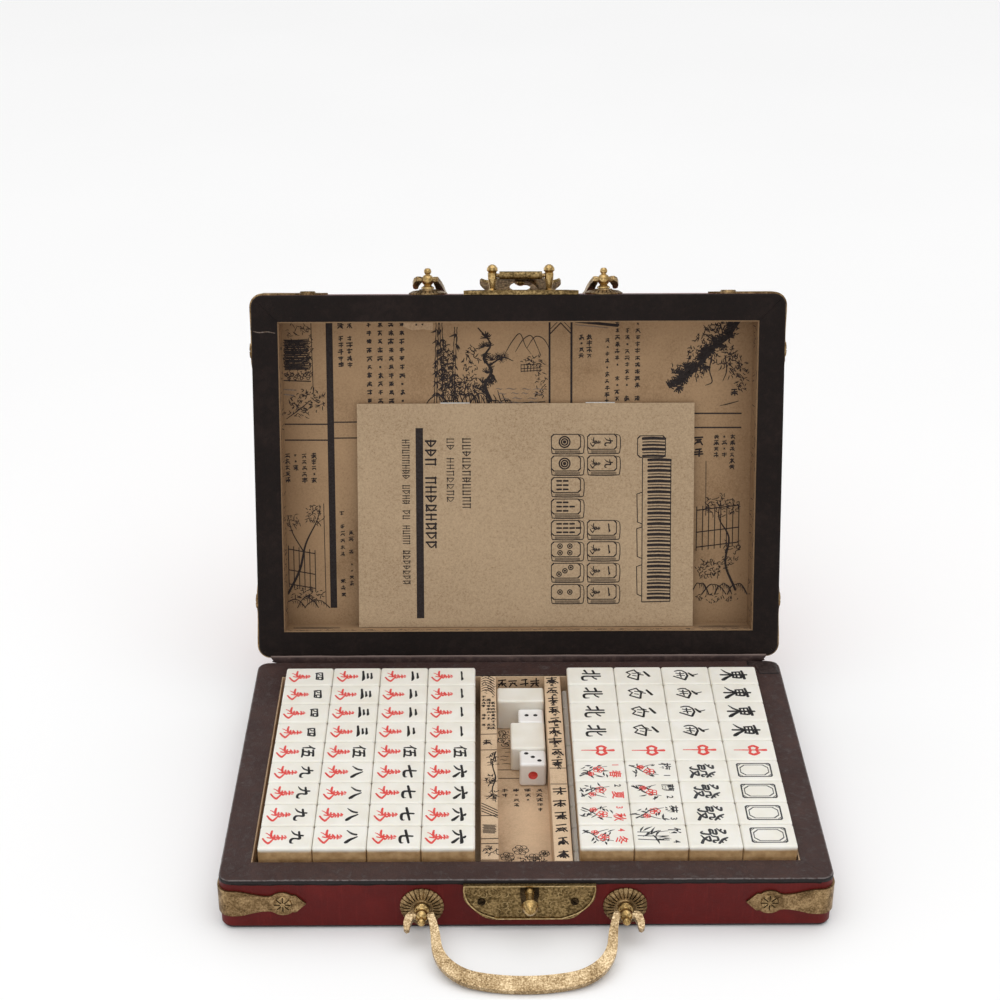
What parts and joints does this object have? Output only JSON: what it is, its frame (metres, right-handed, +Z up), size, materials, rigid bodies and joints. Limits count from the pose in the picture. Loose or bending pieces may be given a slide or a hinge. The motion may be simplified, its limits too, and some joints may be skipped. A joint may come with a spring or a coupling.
{
  "type": "mahjong case",
  "caption": "Flat leather-covered mahjong case with hinged lid, hasp lock, bail handles and strapped corners, standing open on two tile layers, dice and a booklet.",
  "frame": {"origin": "on the table, under the middle of the lower half", "axes": "+X to the right, +Y to the back (hinge side), +Z up; the lock and handles face -Y"},
  "size_m": [0.235, 0.2878, 0.1847],
  "materials": {
    "red_leather": "semi-gloss",
    "rim_leather": "satin",
    "hinge_leather": "matte",
    "board": "matte",
    "foot_sheet": "matte",
    "lining_paper": "matte",
    "brass": "antique",
    "tile": "polished",
    "die": "polished",
    "booklet_cover": "matte",
    "pages": "matte",
    "staple": "satin"
  },
  "bodies": {
    "base": {"base_foot_sheet": "foot_sheet", "base_bottom_panel": "board", "base_wall_front": "board", "base_wall_back": "board", "base_wall_left": "board", "base_wall_right": "board", "base_leather_cover": "red_leather", "base_rim_leather": "rim_leather", "base_floor_lining": "lining_paper", "base_wall_lining": "lining_paper", "divider_left": "lining_paper", "divider_right": "lining_paper", "base_lock_plate": "brass", "lock_post": "brass", "base_lock_screws": "brass", "base_corner_brackets": "brass", "base_bracket_screws": "brass", "base_handle_rosettes": "brass", "base_handle_posts": "brass", "base_hinge_leather": "hinge_leather"},
    "base_bail": {"base_handle": "brass"},
    "lid": {"lid_top_panel": "board", "lid_wall_front": "board", "lid_wall_back": "board", "lid_wall_left": "board", "lid_wall_right": "board", "lid_leather_cover": "red_leather", "lid_rim_leather": "rim_leather", "lid_lining": "lining_paper", "lid_lock_plate": "brass", "lid_lock_screws": "brass", "hasp_posts": "brass", "hasp_pin": "brass", "lid_corner_brackets": "brass", "lid_bracket_screws": "brass", "lid_handle_rosettes": "brass", "lid_handle_posts": "brass", "lid_hinge_leather": "hinge_leather"},
    "lid_bail": {"lid_handle": "brass"},
    "hasp": {"hasp_flap": "brass", "hook_rivet": "brass"},
    "hook": {"swivel_hook": "brass"},
    "tile_layer_left_lower": {"tiles_left_lower": "tile"},
    "tile_layer_left_upper": {"tiles_left_upper": "tile"},
    "tile_layer_right_lower": {"tiles_right_lower": "tile"},
    "tile_layer_right_upper": {"tiles_right_upper": "tile"},
    "spare_standing": {"spare_tile_standing": "tile"},
    "spare_flat": {"spare_tile_flat": "tile"},
    "die_a": {"die_one": "die"},
    "die_b": {"die_two": "die"},
    "booklet": {"booklet_cover": "booklet_cover", "booklet_pages": "pages", "booklet_staples": "staple"}
  },
  "joints": [
    {"name": "lid_hinge", "type": "hinge", "parent": "base", "child": "lid", "pos_m": [0, 0.081, 0.02315], "axis": [-1, 0, 0], "range_deg": [-108.5, 0]},
    {"name": "base_handle_swing", "type": "hinge", "parent": "base", "child": "base_bail", "pos_m": [0, -0.0862, 0.0104], "axis": [-1, 0, 0], "range_deg": [0, 100]},
    {"name": "lid_handle_swing", "type": "hinge", "parent": "lid", "child": "lid_bail", "pos_m": [0, 0.14339, 0.17858], "axis": [-1, 0, 0], "range_deg": [-185, 0]},
    {"name": "hasp_swing", "type": "hinge", "parent": "lid", "child": "hasp", "pos_m": [0.0012, 0.14482, 0.18001], "axis": [-1, 0, 0], "range_deg": [-206, 0]},
    {"name": "hook_swivel", "type": "hinge", "parent": "hasp", "child": "hook", "pos_m": [0.0012, 0.14853, 0.17608], "axis": [0, -0.7009, -0.7133], "range_deg": [0, 40]},
    {"name": "lift_tiles_left_lower", "type": "slide", "parent": "base", "child": "tile_layer_left_lower", "axis": [0, 0, 1], "range_m": [0, 0.02]},
    {"name": "lift_tiles_left_upper", "type": "slide", "parent": "tile_layer_left_lower", "child": "tile_layer_left_upper", "axis": [0, 0, 1], "range_m": [0, 0.013]},
    {"name": "lift_tiles_right_lower", "type": "slide", "parent": "base", "child": "tile_layer_right_lower", "axis": [0, 0, 1], "range_m": [0, 0.02]},
    {"name": "lift_tiles_right_upper", "type": "slide", "parent": "tile_layer_right_lower", "child": "tile_layer_right_upper", "axis": [0, 0, 1], "range_m": [0, 0.013]},
    {"name": "lift_spare_standing", "type": "slide", "parent": "base", "child": "spare_standing", "axis": [0, 0, 1], "range_m": [0, 0.02]},
    {"name": "lift_spare_flat", "type": "slide", "parent": "base", "child": "spare_flat", "axis": [0, 0, 1], "range_m": [0, 0.02]},
    {"name": "lift_die_a", "type": "slide", "parent": "base", "child": "die_a", "axis": [0, 0, 1], "range_m": [0, 0.02]},
    {"name": "lift_die_b", "type": "slide", "parent": "base", "child": "die_b", "axis": [0, 0, 1], "range_m": [0, 0.02]},
    {"name": "pull_booklet", "type": "slide", "parent": "lid", "child": "booklet", "axis": [0, -0.9483, 0.3173], "range_m": [0, 0.02]}
  ]
}
